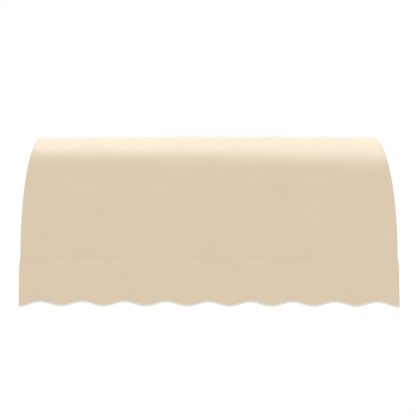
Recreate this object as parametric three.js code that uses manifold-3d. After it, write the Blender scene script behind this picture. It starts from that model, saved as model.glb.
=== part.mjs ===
// A fixed window awning with a convex cover. Curved tube rafters run from a head bar at the wall to a
// front bar, side arms and wall posts close the two end frames, and spigot castings join the tubes.
// The frame carries a sewn cloth cover: two top panels, side wings, bar pockets and a wavy valance with
// a folded binding along its hem.
// Millimetres, +Z up. The wall is the plane y = 0 and the awning faces -Y. The origin is on the back
// face of the centre wall casting, level with the head bar's axis.

import * as THREE from "three";
import { mergeVertices } from "three/addons/utils/BufferGeometryUtils.js";
import Module from "manifold-3d";

const wasm = await Module();
wasm.setup();

// Overall sizes
const OVERALL_WIDTH = 2438; // across the outer faces of the side valances
const PROJECTION = 610; // from the wall to the outer face of the front valance
const FRAME_DROP = 866; // from the head bar's axis down to the front bar's axis
const VALANCE_DROP = 259; // from the front bar's axis down to the middle of the wave
const WAVE_HEIGHT = 27; // from the top of a wave to its bottom
const FRONT_WAVES = 9;
const SIDE_WAVES = 2;

// Tubes and the castings that join them
const TUBE_OD = 25.4;
const TUBE_WALL = 1.5;
const SPIGOT_LENGTH = 22;
const SPIGOT_CHAMFER = 1.5;
const SHOULDER_LIP = 1.3; // a casting's shoulder beyond the surface of the tube that crosses it
const BALL_PROUD = 0.2; // the ball at a casting's heart beyond the tube's surface
const CENTRE_SHOULDER = 20; // half the length of a centre casting along its bar
const RAFTER_STRAIGHT = 26; // straight length at each end of a rafter, where the spigot goes in
const RAFTER_SETBACK = 10; // rafter feet behind the front bar's axis

// Wall flanges
const FLANGE_THICK = 6;
const FLANGE_CORNER = 8;
const FLANGE_RISE = 10; // flange above the head bar's axis
const NECK_LENGTH = 5.3; // from the flange to the surface of the tube in front of it
const NECK_RADIUS = 9;
const NECK_ROOT_RADIUS = 13;
const WEB_THICK = 5; // rib under a neck
const SCREW_HOLE = 8.5;
const HOLE_MARGIN = 11; // from a screw hole's axis to the flange's edge
const HOLE_REACH = 21; // from the tube's surface to a screw hole's axis
const HOLE_PITCH = 30;

// Cloth
const CLOTH = 1;
const BINDING_TAPE = 0.8;
const BINDING_WIDTH = 13;
const VALANCE_LAP = 4; // top edge of the valance above the front bar's axis
const WALL_EDGE = 11; // side wings and side valances stop this far from the wall
const COVER_START = THREE.MathUtils.degToRad(60); // the cover's edge round the head bar, 90 being the top
const COVER_END = THREE.MathUtils.degToRad(225); // the cover's edge round the front bar
const POCKET_TURN = THREE.MathUtils.degToRad(4); // between the cover's edge and the pocket's edge
const POCKET_INSET = 6; // from a casting's shoulder to the end of a pocket

// Clearances
const CLEARANCE = 0.3; // between pieces that touch
const CLOTH_CLEARANCE = 0.5; // between a tube and the cloth stretched over it
const CUT_OVERRUN = 1; // how far a cut runs past the surface it opens
const WELD_DISTANCE = 1e-3; // corners this close are one corner

// How finely round shapes are cut
const TUBE_SIDES = 12;
const BEND_STEPS = 24;
const ARC_STEP = THREE.MathUtils.degToRad(12);
const WAVE_STEPS = 10;
const FLANGE_SEGMENTS = 4;

const tubeRadius = TUBE_OD / 2;
const boreRadius = tubeRadius - TUBE_WALL;
const spigotRadius = boreRadius - CLEARANCE;
const shoulder = tubeRadius + SHOULDER_LIP;
const clothRadius = tubeRadius + CLOTH_CLEARANCE; // inner face of the cloth from a tube's axis

// Where the tubes' axes lie
const clothStack = 2 * CLOTH + CLEARANCE + CLOTH_CLEARANCE; // cover or wing, then valance, over a tube
const frameX = OVERALL_WIDTH / 2 - clothStack - tubeRadius; // rafters, arms and posts of the end frames
const headY = -(FLANGE_THICK + NECK_LENGTH + tubeRadius);
const frontY = -(PROJECTION - clothStack - tubeRadius);
const frontZ = -FRAME_DROP;
const footY = frontY + RAFTER_SETBACK;

// The rafter bends on a quarter ellipse between its two straight ends
const bendY = headY - shoulder - RAFTER_STRAIGHT;
const bendZ = frontZ + shoulder + RAFTER_STRAIGHT;
const bendDepth = bendY - footY;
const bendHeight = -bendZ;

// Where the cloth lies
const coverHalf = OVERALL_WIDTH / 2 - CLOTH - CLEARANCE;
const wingInner = coverHalf - CLOTH;
const valanceTop = frontZ + VALANCE_LAP;
const waveMiddle = frontZ - VALANCE_DROP;
const bindingHalf = CLOTH / 2 + CLEARANCE + BINDING_TAPE; // half the thickness of the folded binding
const sideFront = -PROJECTION + CLOTH / 2 + bindingHalf + CLEARANCE; // front end of a side valance

const finishes = {
  tube: new THREE.MeshStandardMaterial({ color: 0xb4b7b9, roughness: 0.38, metalness: 0.9 }),
  casting: new THREE.MeshStandardMaterial({ color: 0x9fa2a4, roughness: 0.55, metalness: 0.8 }),
  cloth: new THREE.MeshStandardMaterial({ color: 0xdbcab0, roughness: 0.9, metalness: 0 }),
  binding: new THREE.MeshStandardMaterial({ color: 0xe6e4e0, roughness: 0.8, metalness: 0 }),
};

function solidOf(geometry) {
  const bare = new THREE.BufferGeometry().setAttribute("position", geometry.getAttribute("position"));
  bare.setIndex(geometry.index);
  const merged = mergeVertices(bare, WELD_DISTANCE);
  const triVerts = new Uint32Array(merged.index.array);
  const vertProperties = merged.getAttribute("position").array;
  return new wasm.Manifold(new wasm.Mesh({ numProp: 3, vertProperties, triVerts }));
}

function geometryOf(solid) {
  const mesh = solid.getMesh();
  const positions = new THREE.BufferAttribute(mesh.vertProperties, 3);
  const made = new THREE.BufferGeometry().setAttribute("position", positions);
  made.setIndex(new THREE.BufferAttribute(mesh.triVerts, 1));
  return made.toNonIndexed();
}

function union(geometries) {
  const [first, ...others] = geometries.map(solidOf);
  return geometryOf(others.reduce((sum, next) => sum.add(next), first));
}

function piece(name, geometry, finish) {
  geometry.deleteAttribute("uv");
  geometry.computeVertexNormals();
  const mesh = new THREE.Mesh(geometry, finish.clone());
  mesh.name = name;
  return mesh;
}

// Turns a shape drawn in (y, z) and extruded by a depth into a plate that spans x from low to high
function plateAcrossX(shape, low, high) {
  const plate = new THREE.ExtrudeGeometry(shape, { depth: high - low, bevelEnabled: false });
  const toSidePlane = new THREE.Matrix4().set(0, 0, 1, low, 1, 0, 0, 0, 0, 1, 0, 0, 0, 0, 0, 1);
  return plate.applyMatrix4(toSidePlane);
}

// Turns a shape drawn in (x, z) into a plate that spans y from low to high
function plateAcrossY(shape, low, high) {
  const options = { depth: high - low, bevelEnabled: false, curveSegments: FLANGE_SEGMENTS };
  const plate = new THREE.ExtrudeGeometry(shape, options);
  return plate.rotateX(Math.PI / 2).translate(0, high, 0);
}

// Tubes

function tubeSection() {
  const section = new THREE.Shape().absarc(0, 0, tubeRadius, 0, 2 * Math.PI);
  section.holes.push(new THREE.Path().absarc(0, 0, boreRadius, 0, 2 * Math.PI));
  return section;
}

function straightTube(start, end) {
  const length = start.distanceTo(end);
  const options = { depth: length, bevelEnabled: false, curveSegments: TUBE_SIDES / 2 };
  const tube = new THREE.ExtrudeGeometry(tubeSection(), options);
  const direction = end.clone().sub(start).normalize();
  const turn = new THREE.Quaternion().setFromUnitVectors(new THREE.Vector3(0, 0, 1), direction);
  return tube.applyQuaternion(turn).translate(start.x, start.y, start.z);
}

// A point on the curve that runs parallel to the rafter's bend, a distance outside its axis. The turn
// goes from a quarter circle at the top to a half circle at the foot.
function besideBend(turn, distance) {
  const along = new THREE.Vector2(bendDepth * Math.cos(turn), bendHeight * Math.sin(turn));
  const normal = new THREE.Vector2(bendHeight * Math.cos(turn), bendDepth * Math.sin(turn)).normalize();
  return along.addScaledVector(normal, distance).add(new THREE.Vector2(bendY, bendZ));
}

function bendTurn(step) {
  return (Math.PI / 2) * (1 + step / BEND_STEPS);
}

// A rafter's axis: a straight end, the bend and a straight end, with one step for each straight end
class RafterAxis extends THREE.Curve {
  constructor(x) {
    super();
    this.x = x;
  }

  getUtoTmapping(u) {
    return u;
  }

  getPoint(t, target = new THREE.Vector3()) {
    const step = t * (BEND_STEPS + 2) - 1;
    const onBend = besideBend(bendTurn(THREE.MathUtils.clamp(step, 0, BEND_STEPS)), 0);
    const straight = RAFTER_STRAIGHT - CLEARANCE;
    const backY = Math.max(-step, 0) * straight;
    const downZ = Math.max(step - BEND_STEPS, 0) * straight;
    return target.set(this.x, onBend.x + backY, onBend.y - downZ);
  }
}

function rafter(x) {
  const options = { extrudePath: new RafterAxis(x), steps: BEND_STEPS + 2, curveSegments: TUBE_SIDES / 2 };
  return new THREE.ExtrudeGeometry(tubeSection(), options);
}

// Castings

// A turned stub from a casting's heart to its shoulder, with the spigot that enters a tube's bore
function stub(heart, direction, reach = shoulder) {
  const tip = reach + SPIGOT_LENGTH;
  const profile = [
    new THREE.Vector2(0, 0),
    new THREE.Vector2(tubeRadius, 0),
    new THREE.Vector2(tubeRadius, reach),
    new THREE.Vector2(spigotRadius, reach),
    new THREE.Vector2(spigotRadius, tip - SPIGOT_CHAMFER),
    new THREE.Vector2(spigotRadius - SPIGOT_CHAMFER, tip),
    new THREE.Vector2(0, tip),
  ];
  const turned = new THREE.LatheGeometry(profile, TUBE_SIDES);
  const turn = new THREE.Quaternion().setFromUnitVectors(new THREE.Vector3(0, 1, 0), direction);
  return turned.applyQuaternion(turn).translate(heart.x, heart.y, heart.z);
}

function ball(heart) {
  const round = new THREE.SphereGeometry(tubeRadius + BALL_PROUD, TUBE_SIDES, TUBE_SIDES / 2);
  return round.translate(heart.x, heart.y, heart.z);
}

function roundedRectangle(left, right, bottom, top, corner) {
  return new THREE.Shape()
    .absarc(right - corner, top - corner, corner, 0, Math.PI / 2)
    .absarc(left + corner, top - corner, corner, Math.PI / 2, Math.PI)
    .absarc(left + corner, bottom + corner, corner, Math.PI, 1.5 * Math.PI)
    .absarc(right - corner, bottom + corner, corner, 1.5 * Math.PI, 2 * Math.PI);
}

// A flat wall plate with screw holes, at the wall plane
function flange({ left, right, bottom, top, holes }) {
  const outline = roundedRectangle(left, right, bottom, top, FLANGE_CORNER);
  for (const [x, z] of holes) {
    outline.holes.push(new THREE.Path().absarc(x, z, SCREW_HOLE / 2, 0, 2 * Math.PI));
  }
  return plateAcrossY(outline, -FLANGE_THICK, 0);
}

// The coned neck that carries a casting's heart on its flange
function neck(heart) {
  const face = FLANGE_THICK;
  const profile = [
    new THREE.Vector2(0, face / 2),
    new THREE.Vector2(NECK_ROOT_RADIUS, face / 2),
    new THREE.Vector2(NECK_ROOT_RADIUS, face),
    new THREE.Vector2(NECK_RADIUS, face + NECK_LENGTH),
    new THREE.Vector2(NECK_RADIUS, face + NECK_LENGTH + tubeRadius),
    new THREE.Vector2(0, face + NECK_LENGTH + tubeRadius),
  ];
  return new THREE.LatheGeometry(profile, TUBE_SIDES).rotateX(Math.PI).translate(heart.x, 0, heart.z);
}

// A thin rib under the neck, from a casting's heart down to its flange
function web(heart, drop) {
  const root = -FLANGE_THICK / 2;
  const outline = new THREE.Shape()
    .moveTo(root, heart.z)
    .lineTo(heart.y, heart.z)
    .lineTo(heart.y, heart.z - tubeRadius / 2)
    .lineTo(root, heart.z - drop);
  return plateAcrossX(outline, heart.x - WEB_THICK / 2, heart.x + WEB_THICK / 2);
}

// The short round bridge between the hearts of a front casting
function link(barHeart, footHeart) {
  const bridge = new THREE.CylinderGeometry(tubeRadius, tubeRadius, RAFTER_SETBACK, TUBE_SIDES);
  const middle = barHeart.clone().lerp(footHeart, 0.5);
  return bridge.translate(middle.x, middle.y, middle.z);
}

const inward = new THREE.Vector3(-1, 0, 0); // from the right end frame
const outward = new THREE.Vector3(1, 0, 0);
const forward = new THREE.Vector3(0, -1, 0);
const backward = new THREE.Vector3(0, 1, 0);
const upward = new THREE.Vector3(0, 0, 1);
const downward = new THREE.Vector3(0, 0, -1);

function headCorner() {
  const heart = new THREE.Vector3(frameX, headY, 0);
  const holeX = frameX - tubeRadius - HOLE_REACH;
  const holeZ = -(tubeRadius + HOLE_MARGIN);
  const plate = flange({
    left: holeX - HOLE_MARGIN,
    right: frameX + tubeRadius,
    bottom: holeZ - HOLE_PITCH - HOLE_MARGIN,
    top: FLANGE_RISE,
    holes: [[holeX, holeZ], [holeX, holeZ - HOLE_PITCH]],
  });
  const stubs = [stub(heart, inward), stub(heart, forward), stub(heart, downward)];
  return union([ball(heart), ...stubs, neck(heart), plate]);
}

function headCentre() {
  const heart = new THREE.Vector3(0, headY, 0);
  const holeZ = -(tubeRadius + HOLE_REACH);
  const halfPlate = HOLE_PITCH / 2 + HOLE_MARGIN;
  const plate = flange({
    left: -halfPlate,
    right: halfPlate,
    bottom: holeZ - HOLE_MARGIN,
    top: FLANGE_RISE,
    holes: [[-HOLE_PITCH / 2, holeZ], [HOLE_PITCH / 2, holeZ]],
  });
  const arms = [stub(heart, inward, CENTRE_SHOULDER), stub(heart, outward, CENTRE_SHOULDER)];
  return union([ball(heart), ...arms, stub(heart, forward), neck(heart), web(heart, -holeZ), plate]);
}

function wallFoot() {
  const heart = new THREE.Vector3(frameX, headY, frontZ);
  const holeX = frameX - tubeRadius - HOLE_REACH;
  const plate = flange({
    left: holeX - HOLE_MARGIN,
    right: frameX + tubeRadius,
    bottom: frontZ - HOLE_PITCH / 2 - HOLE_MARGIN,
    top: frontZ + HOLE_PITCH / 2 + HOLE_MARGIN,
    holes: [[holeX, frontZ - HOLE_PITCH / 2], [holeX, frontZ + HOLE_PITCH / 2]],
  });
  const rib = web(heart, HOLE_PITCH / 2 + HOLE_MARGIN / 2);
  return union([ball(heart), stub(heart, upward), stub(heart, forward), neck(heart), rib, plate]);
}

function frontCorner() {
  const barHeart = new THREE.Vector3(frameX, frontY, frontZ);
  const footHeart = new THREE.Vector3(frameX, footY, frontZ);
  const stubs = [stub(barHeart, inward), stub(footHeart, upward), stub(footHeart, backward)];
  return union([ball(barHeart), ball(footHeart), ...stubs, link(barHeart, footHeart)]);
}

function frontCentre() {
  const barHeart = new THREE.Vector3(0, frontY, frontZ);
  const footHeart = new THREE.Vector3(0, footY, frontZ);
  const arms = [stub(barHeart, inward, CENTRE_SHOULDER), stub(barHeart, outward, CENTRE_SHOULDER)];
  const bridge = link(barHeart, footHeart);
  return union([ball(barHeart), ball(footHeart), ...arms, stub(footHeart, upward), bridge]);
}

// Cloth

function arcPoints(centreY, centreZ, radius, from, to) {
  const arc = new THREE.EllipseCurve(centreY, centreZ, radius, radius, from, to);
  return arc.getPoints(Math.ceil((to - from) / ARC_STEP));
}

// Where straight cloth from a point touches a bar, before and after the turn that faces the point
function touchTurns(point, centreY, centreZ, radius) {
  const away = new THREE.Vector2(point.x - centreY, point.y - centreZ);
  const facing = Math.atan2(away.y, away.x);
  const half = Math.acos(radius / away.length());
  return { before: facing - half, after: facing + half };
}

// Points along the stretched cloth, a distance outside the tubes' axes, from over the head bar, along the
// rafters and over the front bar
function coverLine(distance, start, end) {
  const points = arcPoints(headY, 0, distance, start, Math.PI / 2);
  for (let step = 0; step <= BEND_STEPS; step++) {
    points.push(besideBend(bendTurn(step), distance));
  }
  const touch = touchTurns(points[points.length - 1], frontY, frontZ, distance);
  return [...points, ...arcPoints(frontY, frontZ, distance, touch.after, end)];
}

// The outline of a strip of cloth whose inner face follows a line that turns anticlockwise
function strip(line, thickness) {
  const outer = line.map((point, i) => {
    const before = line[Math.max(i - 1, 0)];
    const after = line[Math.min(i + 1, line.length - 1)];
    const along = after.clone().sub(before).normalize();
    return new THREE.Vector2(point.x + along.y * thickness, point.y - along.x * thickness);
  });
  return new THREE.Shape([...line, ...outer.reverse()]);
}

function coverPanel(low, high) {
  return plateAcrossX(strip(coverLine(clothRadius, COVER_START, COVER_END), CLOTH), low, high);
}

// The sleeve sewn under the cover that the head bar runs through
function headPocket(low, high) {
  const seam = new THREE.Vector2(bendY, clothRadius - CLEARANCE);
  const touch = touchTurns(seam, headY, 0, clothRadius).after - 2 * Math.PI;
  const line = [seam, ...arcPoints(headY, 0, clothRadius, touch, COVER_START - POCKET_TURN)];
  return plateAcrossX(strip(line, CLOTH), low, high);
}

// The sleeve sewn behind the cover that the front bar runs through
function frontPocket(low, high) {
  const seam = new THREE.Vector2(footY - clothRadius + CLEARANCE, bendZ);
  const touch = touchTurns(seam, frontY, frontZ, clothRadius).before + 2 * Math.PI;
  const line = [...arcPoints(frontY, frontZ, clothRadius, COVER_END + POCKET_TURN, touch), seam];
  return plateAcrossX(strip(line, CLOTH), low, high);
}

// A side wing fills the profile under the cover's edge, outside the end frame
function sideWing() {
  const edge = coverLine(clothRadius - CLEARANCE, 0, 1.5 * Math.PI);
  const outline = new THREE.Shape([
    new THREE.Vector2(-WALL_EDGE, frontZ - clothRadius + CLEARANCE),
    new THREE.Vector2(-WALL_EDGE, 0),
    ...edge.slice(1),
  ]);
  return plateAcrossX(outline, wingInner, coverHalf);
}

// The height of the wavy hem along a stretch, lowest at both ends
function hem(place, start, length, waves) {
  return waveMiddle - (WAVE_HEIGHT / 2) * Math.cos((2 * Math.PI * waves * (place - start)) / length);
}

// A strip whose lower edge is the wavy hem raised by one amount. Its upper edge is the hem raised by
// another amount, or a level line.
function wavyStrip(start, end, waves, { lower, upper, level, overrun = 0 }) {
  const places = [];
  for (let step = 0; step <= waves * WAVE_STEPS; step++) {
    places.push(start + ((end - start) * step) / (waves * WAVE_STEPS));
  }
  if (overrun > 0) {
    places.unshift(start - overrun);
    places.push(end + overrun);
  }
  const edge = (raise) =>
    places.map((place) => new THREE.Vector2(place, hem(place, start, end - start, waves) + raise));
  const levelEdge = [new THREE.Vector2(start, level), new THREE.Vector2(end, level)];
  const top = level === undefined ? edge(upper) : levelEdge;
  return new THREE.Shape([...edge(lower), ...top.reverse()]);
}

function valanceShape(start, end, waves) {
  return wavyStrip(start, end, waves, { lower: BINDING_TAPE + CLEARANCE, level: valanceTop });
}

// A tape folded over the hem: a wavy strip with a slot that the valance's edge fills
function binding(start, end, waves, plate, middle) {
  const tapeShape = wavyStrip(start, end, waves, { lower: 0, upper: BINDING_WIDTH });
  const slotCut = { lower: BINDING_TAPE, upper: BINDING_WIDTH + CUT_OVERRUN, overrun: CUT_OVERRUN };
  const slotShape = wavyStrip(start, end, waves, slotCut);
  const slotHalf = CLOTH / 2 + CLEARANCE;
  const tape = plate(tapeShape, middle - bindingHalf, middle + bindingHalf);
  const slot = plate(slotShape, middle - slotHalf, middle + slotHalf);
  return geometryOf(solidOf(tape).subtract(solidOf(slot)));
}

// The assembly

const frame = new THREE.Group();
const cover = new THREE.Group();

const sides = [["left", -1], ["right", 1]];
const tubeStart = shoulder + CLEARANCE;
const pocketEnd = frameX - shoulder - SPIGOT_LENGTH;
const frontMiddle = -PROJECTION + CLOTH / 2;
const sideMiddle = OVERALL_WIDTH / 2 - CLOTH / 2;

for (const [side, sign] of sides) {
  const barFrom = sign * (CENTRE_SHOULDER + CLEARANCE);
  const barTo = sign * (frameX - tubeStart);
  const headBar = straightTube(new THREE.Vector3(barFrom, headY, 0), new THREE.Vector3(barTo, headY, 0));
  const frontBar = straightTube(
    new THREE.Vector3(barFrom, frontY, frontZ),
    new THREE.Vector3(barTo, frontY, frontZ),
  );
  const post = straightTube(
    new THREE.Vector3(sign * frameX, headY, -tubeStart),
    new THREE.Vector3(sign * frameX, headY, frontZ + tubeStart),
  );
  const arm = straightTube(
    new THREE.Vector3(sign * frameX, headY - tubeStart, frontZ),
    new THREE.Vector3(sign * frameX, footY + tubeStart, frontZ),
  );
  frame.add(
    piece(`head_bar_${side}`, headBar, finishes.tube),
    piece(`front_bar_${side}`, frontBar, finishes.tube),
    piece(`wall_post_${side}`, post, finishes.tube),
    piece(`side_arm_${side}`, arm, finishes.tube),
    piece(`rafter_${side}`, rafter(sign * frameX), finishes.tube),
  );

  const castings = [
    piece(`head_corner_${side}`, headCorner(), finishes.casting),
    piece(`front_corner_${side}`, frontCorner(), finishes.casting),
    piece(`wall_foot_${side}`, wallFoot(), finishes.casting),
  ];
  for (const casting of castings) {
    casting.scale.x = sign;
    frame.add(casting);
  }

  const wing = piece(`side_wing_${side}`, sideWing(), finishes.cloth);
  const sideValanceShape = valanceShape(sideFront, -WALL_EDGE, SIDE_WAVES);
  const sideValancePlate = plateAcrossX(sideValanceShape, sideMiddle - CLOTH / 2, sideMiddle + CLOTH / 2);
  const sideValance = piece(`side_valance_${side}`, sideValancePlate, finishes.cloth);
  const sideTape = binding(sideFront, -WALL_EDGE, SIDE_WAVES, plateAcrossX, sideMiddle);
  const sideBinding = piece(`side_binding_${side}`, sideTape, finishes.binding);
  for (const cloth of [wing, sideValance, sideBinding]) {
    cloth.scale.x = sign;
    cover.add(cloth);
  }

  const [panelLow, panelHigh] = [sign * (CLEARANCE / 2), sign * coverHalf].sort((a, b) => a - b);
  const pocketInner = sign * (CENTRE_SHOULDER + POCKET_INSET);
  const [pocketLow, pocketHigh] = [pocketInner, sign * pocketEnd].sort((a, b) => a - b);
  cover.add(
    piece(`cover_panel_${side}`, coverPanel(panelLow, panelHigh), finishes.cloth),
    piece(`head_pocket_${side}`, headPocket(pocketLow, pocketHigh), finishes.cloth),
    piece(`front_pocket_${side}`, frontPocket(pocketLow, pocketHigh), finishes.cloth),
  );
}

frame.add(
  piece("rafter_centre", rafter(0), finishes.tube),
  piece("head_centre", headCentre(), finishes.casting),
  piece("front_centre", frontCentre(), finishes.casting),
);

const halfWidth = OVERALL_WIDTH / 2;
const frontValanceShape = valanceShape(-halfWidth, halfWidth, FRONT_WAVES);
const frontValance = plateAcrossY(frontValanceShape, frontMiddle - CLOTH / 2, frontMiddle + CLOTH / 2);
const frontTape = binding(-halfWidth, halfWidth, FRONT_WAVES, plateAcrossY, frontMiddle);
cover.add(
  piece("front_valance", frontValance, finishes.cloth),
  piece("front_binding", frontTape, finishes.binding),
);

const awning = new THREE.Group();
awning.add(frame, cover);

export default awning;
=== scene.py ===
# %% [markdown]
# # A fixed window awning
# A window awning is a sewn cover stretched over a frame of tubes. The tubes and the castings that join
# them come from CAD as a fixed frame, so nothing in this file has to be fitted by eye. What is made here
# is what CAD leaves plain: the cloth, its seams and stitches, the round skin of the metal, and the light.

import math

import bmesh
import bpy
import numpy as np
from mathutils import Matrix, Vector


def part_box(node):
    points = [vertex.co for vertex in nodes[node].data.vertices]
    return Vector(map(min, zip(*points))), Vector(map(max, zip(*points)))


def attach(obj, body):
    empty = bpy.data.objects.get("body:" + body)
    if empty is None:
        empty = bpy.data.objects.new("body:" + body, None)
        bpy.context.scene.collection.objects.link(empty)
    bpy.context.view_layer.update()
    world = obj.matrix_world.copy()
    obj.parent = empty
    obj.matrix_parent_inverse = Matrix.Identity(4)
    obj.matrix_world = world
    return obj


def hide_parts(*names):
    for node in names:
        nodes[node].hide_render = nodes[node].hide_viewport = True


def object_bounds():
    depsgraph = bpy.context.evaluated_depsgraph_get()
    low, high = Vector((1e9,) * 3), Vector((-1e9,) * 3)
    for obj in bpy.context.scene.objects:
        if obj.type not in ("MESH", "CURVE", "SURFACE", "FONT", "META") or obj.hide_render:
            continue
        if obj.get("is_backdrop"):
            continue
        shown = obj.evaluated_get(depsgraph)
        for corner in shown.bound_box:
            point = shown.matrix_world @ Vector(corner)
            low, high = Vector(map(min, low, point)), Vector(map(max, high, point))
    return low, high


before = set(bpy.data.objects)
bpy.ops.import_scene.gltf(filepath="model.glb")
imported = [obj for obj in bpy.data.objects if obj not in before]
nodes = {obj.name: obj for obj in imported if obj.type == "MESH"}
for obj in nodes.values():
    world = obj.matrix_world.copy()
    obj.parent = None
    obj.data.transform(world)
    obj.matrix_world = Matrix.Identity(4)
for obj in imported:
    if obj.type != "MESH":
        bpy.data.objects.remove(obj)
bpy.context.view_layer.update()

# %% [markdown]
# ## Where the frame is
# Every piece of cloth follows the tubes, so the tubes are measured first. They could be typed in again
# from the CAD source, but a size that is read from the frame stays right when the frame changes. Only the
# straight ends of a bent rafter can't be read from a box, so they are the one size that is written down.

# %% Measure the tubes
RAFTER_STRAIGHT = 0.0257  # the straight ends of a bent rafter tube


def middle(node):
    low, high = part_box(node)
    return (low + high) / 2


head_low, head_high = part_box("head_bar_right")
TUBE_RADIUS = (head_high.z - head_low.z) / 2
HEAD = middle("head_bar_right")
FRONT = middle("front_bar_right")
FRAME_X = middle("side_arm_right").x

rafter_low, rafter_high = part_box("rafter_right")
FOOT_Y = rafter_low.y + TUBE_RADIUS
BEND = Vector((0, rafter_high.y - RAFTER_STRAIGHT, rafter_low.z + RAFTER_STRAIGHT))
BEND_DEPTH = BEND.y - FOOT_Y
BEND_HEIGHT = HEAD.z - BEND.z
WALL_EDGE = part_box("side_wing_right")[1].y
print(f"tube {TUBE_RADIUS * 2000:.1f} mm, rafters bend {BEND_DEPTH:.4f} out and {BEND_HEIGHT:.4f} down")

# %% [markdown]
# ## The line the cloth takes
# Seen from the side, the cover leaves the head bar, runs over the bent rafters and turns under the front
# bar. A bent rafter is a quarter of an ellipse, and cloth that lies on it is parallel to it, which is no
# longer an ellipse. So the line is sampled as points, each one pushed out from the rafter's middle, and is
# measured along its length. Cloth doesn't stretch much, and a length along this line is a length on the
# flat sheet.

# %% A line that can be measured
FEEL = 0.002  # the slope at a place is felt this far to each side


class ClothLine:
    """A line in the side plane, as (y, z) points, that is measured along its length."""

    def __init__(self, points):
        self.points = np.array(points)
        steps = np.linalg.norm(np.diff(self.points, axis=0), axis=1)
        self.lengths = np.concatenate([[0.0], np.cumsum(steps)])
        self.length = float(self.lengths[-1])

    def at(self, along):
        y, z = (float(np.interp(along, self.lengths, self.points[:, axis])) for axis in (0, 1))
        return Vector((0, y, z))

    def outward(self, along):
        run = self.at(min(along + FEEL, self.length)) - self.at(max(along - FEEL, 0))
        return Vector((0, run.z, -run.y)).normalized()


print("a line is felt over", FEEL * 2000, "mm")

# %% Draw the line of the cover
CLOTH_THICK = 0.0006
CLOTH_RADIUS = TUBE_RADIUS + 0.001  # from the middle of a tube to the middle of the cloth
COVER_START = math.radians(60)  # on the head bar, turning over the top
COVER_END = math.radians(225)  # under the front bar
ARC_STEP = math.radians(7.5)
BEND_STEPS = 64


def arc(centre, radius, start, end):
    steps = max(1, math.ceil(abs(end - start) / ARC_STEP))
    turns = np.linspace(start, end, steps + 1)
    return [(centre.y + radius * math.cos(turn), centre.z + radius * math.sin(turn)) for turn in turns]


def over_rafter(distance):
    """The line parallel to a bent rafter, from its upper end to its foot."""
    points = []
    for turn in np.linspace(math.pi / 2, math.pi, BEND_STEPS + 1):
        out = Vector((BEND_HEIGHT * math.cos(turn), BEND_DEPTH * math.sin(turn))).normalized()
        y = BEND.y + BEND_DEPTH * math.cos(turn) + distance * out.x
        z = BEND.z + BEND_HEIGHT * math.sin(turn) + distance * out.y
        points.append((y, z))
    return points


def touch_turn(point, centre, radius, way):
    """Where a straight line from a point touches a circle, as the turn round its middle."""
    y, z = point[0] - centre.y, point[1] - centre.z
    return math.atan2(z, y) + way * math.acos(radius / math.hypot(y, z))


over = over_rafter(CLOTH_RADIUS)
front_touch = touch_turn(over[-1], FRONT, CLOTH_RADIUS, 1)
head_arc = arc(HEAD, CLOTH_RADIUS, COVER_START, math.pi / 2)
front_arc = arc(FRONT, CLOTH_RADIUS, front_touch, COVER_END)
cover_line = ClothLine(head_arc + over + front_arc)
print(f"the cover runs {cover_line.length:.3f} m from the head bar to the front bar")

# %% [markdown]
# ## Cutting and hanging cloth
# Sewn cloth starts as flat pieces on a table. It could be modelled straight in its bent form, but then
# nothing says how the threads run. Here a flat grid is cut to size, the flat place of each point is kept
# as a UV map in metres, and then every point is hung where it belongs. The weave reads that map, so it
# follows the cloth round each bend. Grid lines go exactly where a seam or a fold needs them.

# %% Show a piece


def show(name, bm, finish):
    """Makes a mesh object from a bmesh and lets it ride on the frame."""
    mesh = bpy.data.meshes.new(name)
    bm.to_mesh(mesh)
    bm.free()
    mesh.shade_smooth()
    mesh.materials.append(finish)
    piece = bpy.data.objects.new(name, mesh)
    bpy.context.scene.collection.objects.link(piece)
    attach(piece, "root")
    print(f"{name}: {len(mesh.polygons)} faces")
    return piece


# %% Cut, hang and thicken a sheet
CUT_MAP = "Cut"
LINE_GAP = 0.0005  # an even grid line this close to a seam's line gives way to it


def same_place(across, along):
    return across, along


def cut_and_hang(across, along, hang, lay=same_place, turn_over=True):
    """Cuts a flat grid with lines at the given places, lays it out, and hangs each point of it."""
    bm = bmesh.new()
    cut = bm.loops.layers.uv.new(CUT_MAP)
    columns, rows = len(across) - 1, len(along) - 1
    bmesh.ops.create_grid(bm, x_segments=columns, y_segments=rows, size=0.5)
    flat = {}
    for vert in bm.verts:
        column = round((vert.co.x + 0.5) * columns)
        row = round((vert.co.y + 0.5) * rows)
        flat[vert] = lay(across[column], along[row])
    for face in bm.faces:
        for loop in face.loops:
            loop[cut].uv = flat[loop.vert]
    for vert in bm.verts:
        vert.co = hang(*flat[vert])
    if turn_over:
        bmesh.ops.reverse_faces(bm, faces=bm.faces)
    return bm


def thicken(piece, thickness=CLOTH_THICK):
    """Gives a sheet its two sides, half of the thickness each way."""
    solid = piece.modifiers.new("Thickness", "SOLIDIFY")
    solid.thickness = thickness
    solid.offset = 0


def with_lines(values, *lines):
    """Even grid lines, with others among them where a seam needs an edge."""
    kept = [value for value in values if all(abs(value - line) > LINE_GAP for line in lines)]
    return sorted([*kept, *lines])


def swell(value, low, high):
    """A smooth step from 0 at low to 1 at high."""
    share = min(max((value - low) / (high - low), 0), 1)
    return share * share * (3 - 2 * share)


print("cloth is", CLOTH_THICK * 1000, "mm thick")

# %% [markdown]
# ## A recipe for finishes
# A finish is a small network of nodes. They could be set up by hand in the shader editor, and here the
# same is done in code, with a helper that adds a node, sets it and joins it in one line. A number that is
# the same all over a surface is set on the shader itself.

# %% The recipe helper


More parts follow.
